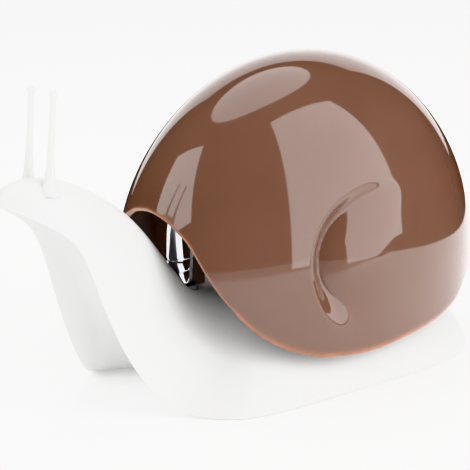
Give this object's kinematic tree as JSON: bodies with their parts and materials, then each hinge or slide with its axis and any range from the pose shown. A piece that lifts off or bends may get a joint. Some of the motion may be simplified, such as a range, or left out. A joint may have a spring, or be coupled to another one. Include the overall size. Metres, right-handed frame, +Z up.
{
  "type": "soap dispenser",
  "caption": "Snail-shaped liquid soap dispenser: a domed shell is pressed down on a pump, and soap runs up the neck and out under the chin.",
  "frame": {"origin": "on the standing surface, under the centre of the bounding box", "axes": "+Z up, -Y where the snail looks, +X the snail's left side"},
  "size_m": [0.088, 0.1823, 0.1011],
  "materials": {
    "body_white": "smooth satin moulded plastic",
    "shell_brown": "high gloss moulded plastic",
    "pipe_chrome": "polished plating",
    "pump_white": "moulded plastic",
    "pump_clear": "translucent plastic",
    "bottle_clear": "translucent plastic",
    "hose_clear": "soft translucent tube",
    "seal_black": "matt elastomer",
    "foot_grey": "matt elastomer",
    "outlet_grey": "moulded plastic",
    "steel": "plain steel"
  },
  "bodies": {
    "base": {"body_shell": "body_white", "antenna_left": "body_white", "antenna_right": "body_white", "base_plate": "body_white", "pump_collar": "pump_white", "housing_lock_ring": "pump_white", "pump_housing": "pump_clear", "dip_tube": "pump_clear", "bottle": "bottle_clear", "outlet_hose": "hose_clear", "collar_gasket": "seal_black", "gland_o_ring": "seal_black", "foot_front_left": "foot_grey", "foot_front_right": "foot_grey", "foot_rear_left": "foot_grey", "foot_rear_right": "foot_grey", "gland": "outlet_grey", "mouth_nozzle": "outlet_grey", "pump_spring": "steel", "base_screw_1": "steel", "base_screw_2": "steel", "base_screw_3": "steel", "base_screw_4": "steel"},
    "pump_head": {"actuator": "pump_white", "pump_stem": "pump_clear", "pump_piston": "pump_clear", "spout_pipe": "pipe_chrome"},
    "shell": {"shell_cover": "shell_brown"},
    "inlet_valve": {"inlet_ball": "steel"}
  },
  "joints": [
    {"name": "press_slide", "type": "slide", "parent": "base", "child": "pump_head", "axis": [0, 0, 1], "range_m": [-0.006, 0], "stiffness_N_per_m": 600, "springref_m": 0.01, "deforming": ["pump_spring"]},
    {"name": "shell_lift", "type": "slide", "parent": "pump_head", "child": "shell", "axis": [0, 0, 1], "range_m": [0, 0.09]},
    {"name": "inlet_ball_lift", "type": "slide", "parent": "base", "child": "inlet_valve", "axis": [0, 0, 1], "range_m": [0, 0.001]}
  ]
}
